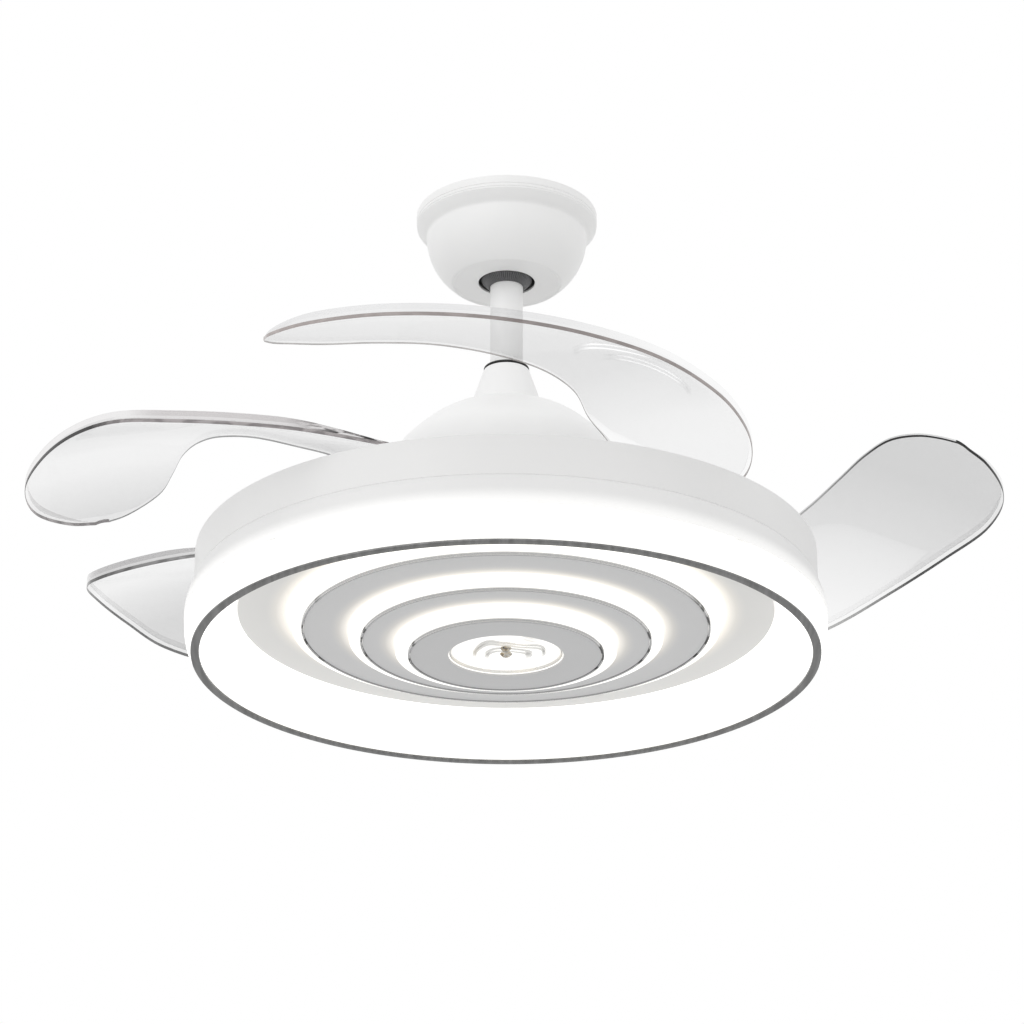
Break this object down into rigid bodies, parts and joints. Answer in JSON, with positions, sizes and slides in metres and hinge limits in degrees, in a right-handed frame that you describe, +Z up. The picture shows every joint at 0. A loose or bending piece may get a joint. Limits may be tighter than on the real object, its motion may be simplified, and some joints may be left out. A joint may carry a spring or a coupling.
{
  "type": "retractable blade ceiling fan",
  "caption": "Ceiling fan whose clear blades swing out from above a round stepped ring lamp, hung by a short downrod from a bowl-shaped canopy.",
  "frame": {"origin": "middle of the bracket's upper face, where it lies against the ceiling", "axes": "+Z up into the ceiling along the downrod and rotor axis, -Y towards the viewer of the picture, +X to the viewer's right"},
  "size_m": [0.7925, 0.7417, 0.396],
  "materials": {
    "white_paint": "satin white powder coat",
    "grey_paint": "satin grey lacquer on plastic plate",
    "carrier_grey": "satin grey coat on an aluminium plate",
    "aluminium_sheet": "bare rolled sheet",
    "trim_dark": "satin dark anodised",
    "milk_acrylic": "opal, lit from behind",
    "chrome": "polished plating",
    "steel": "machined",
    "clear_acrylic": "clear and glossy",
    "crystal": "clear, cut facets",
    "rubber": "matte black",
    "dark_polymer": "matte dark grey",
    "copper_winding": "laminated core with enamelled windings",
    "magnet": "sintered, coated",
    "board": "white solder mask",
    "white_plastic": "moulded, satin"
  },
  "bodies": {
    "ceiling_mount": {"ceiling_bracket": "steel", "canopy": "white_paint", "canopy_screw_right": "steel", "canopy_screw_left": "steel", "remote_receiver": "white_plastic", "terminal_block": "white_plastic"},
    "hanger": {"hanger_ball": "dark_polymer", "ball_cross_pin": "steel", "downrod": "white_paint", "rod_gasket": "rubber", "yoke_cover": "white_paint", "yoke_cover_screw": "steel", "motor_yoke": "steel", "rod_bolt": "steel", "motor_cover": "white_paint", "motor_shaft": "steel", "stator": "copper_winding", "drum_housing": "white_paint", "lamp_nut": "steel", "lamp_chassis": "aluminium_sheet", "led_driver": "white_plastic", "led_ring_board": "board", "diffuser_ring": "milk_acrylic", "trim_ring": "trim_dark", "floor_plate": "grey_paint", "glow_band_2": "milk_acrylic", "glow_band_3": "milk_acrylic", "glow_band_4": "milk_acrylic", "disc_2": "grey_paint", "disc_3": "grey_paint", "disc_4": "grey_paint", "disc_rim_2": "chrome", "disc_rim_3": "chrome", "disc_rim_4": "chrome", "crystal_lens": "crystal", "crystal_stem": "crystal", "centre_emitter": "board"},
    "rotor": {"rotor_shell_top": "steel", "rotor_shell_bottom": "steel", "bearing_upper": "steel", "bearing_lower": "steel", "magnet_ring": "magnet", "blade_carrier": "carrier_grey", "pivot_pin_1": "steel", "pivot_pin_2": "steel", "pivot_pin_3": "steel", "pivot_pin_4": "steel"},
    "blade_assembly_1": {"blade_arm_1": "steel", "return_spring_1": "steel", "blade_1": "clear_acrylic"},
    "blade_assembly_2": {"blade_arm_2": "steel", "return_spring_2": "steel", "blade_2": "clear_acrylic"},
    "blade_assembly_3": {"blade_arm_3": "steel", "return_spring_3": "steel", "blade_3": "clear_acrylic"},
    "blade_assembly_4": {"blade_arm_4": "steel", "return_spring_4": "steel", "blade_4": "clear_acrylic"}
  },
  "joints": [
    {"name": "hanger_tilt", "type": "hinge", "parent": "ceiling_mount", "child": "hanger", "pos_m": [0, 0, -0.035], "axis": [1, 0, 0], "range_deg": [-6, 6]},
    {"name": "rotor_spin", "type": "hinge", "parent": "hanger", "child": "rotor", "pos_m": [0, 0, -0.25], "axis": [0, 0, 1], "continuous": true},
    {"name": "blade_1_swing", "type": "hinge", "parent": "rotor", "child": "blade_assembly_1", "pos_m": [0.10894, -0.05266, -0.29], "axis": [0, 0, 1], "range_deg": [-42.15, 2.33]},
    {"name": "blade_2_swing", "type": "hinge", "parent": "rotor", "child": "blade_assembly_2", "pos_m": [-0.05266, -0.10894, -0.29], "axis": [0, 0, 1], "range_deg": [-61.05, 3.35]},
    {"name": "blade_3_swing", "type": "hinge", "parent": "rotor", "child": "blade_assembly_3", "pos_m": [-0.10894, 0.05266, -0.29], "axis": [0, 0, 1], "range_deg": [-111, 6]},
    {"name": "blade_4_swing", "type": "hinge", "parent": "rotor", "child": "blade_assembly_4", "pos_m": [0.05266, 0.10894, -0.29], "axis": [0, 0, 1], "range_deg": [-68.85, 3.77]}
  ],
  "couplings": [
    {"joint": "blade_1_swing", "follows": "blade_3_swing", "ratio": 0.37928},
    {"joint": "blade_2_swing", "follows": "blade_3_swing", "ratio": 0.54955},
    {"joint": "blade_4_swing", "follows": "blade_3_swing", "ratio": 0.61982}
  ]
}
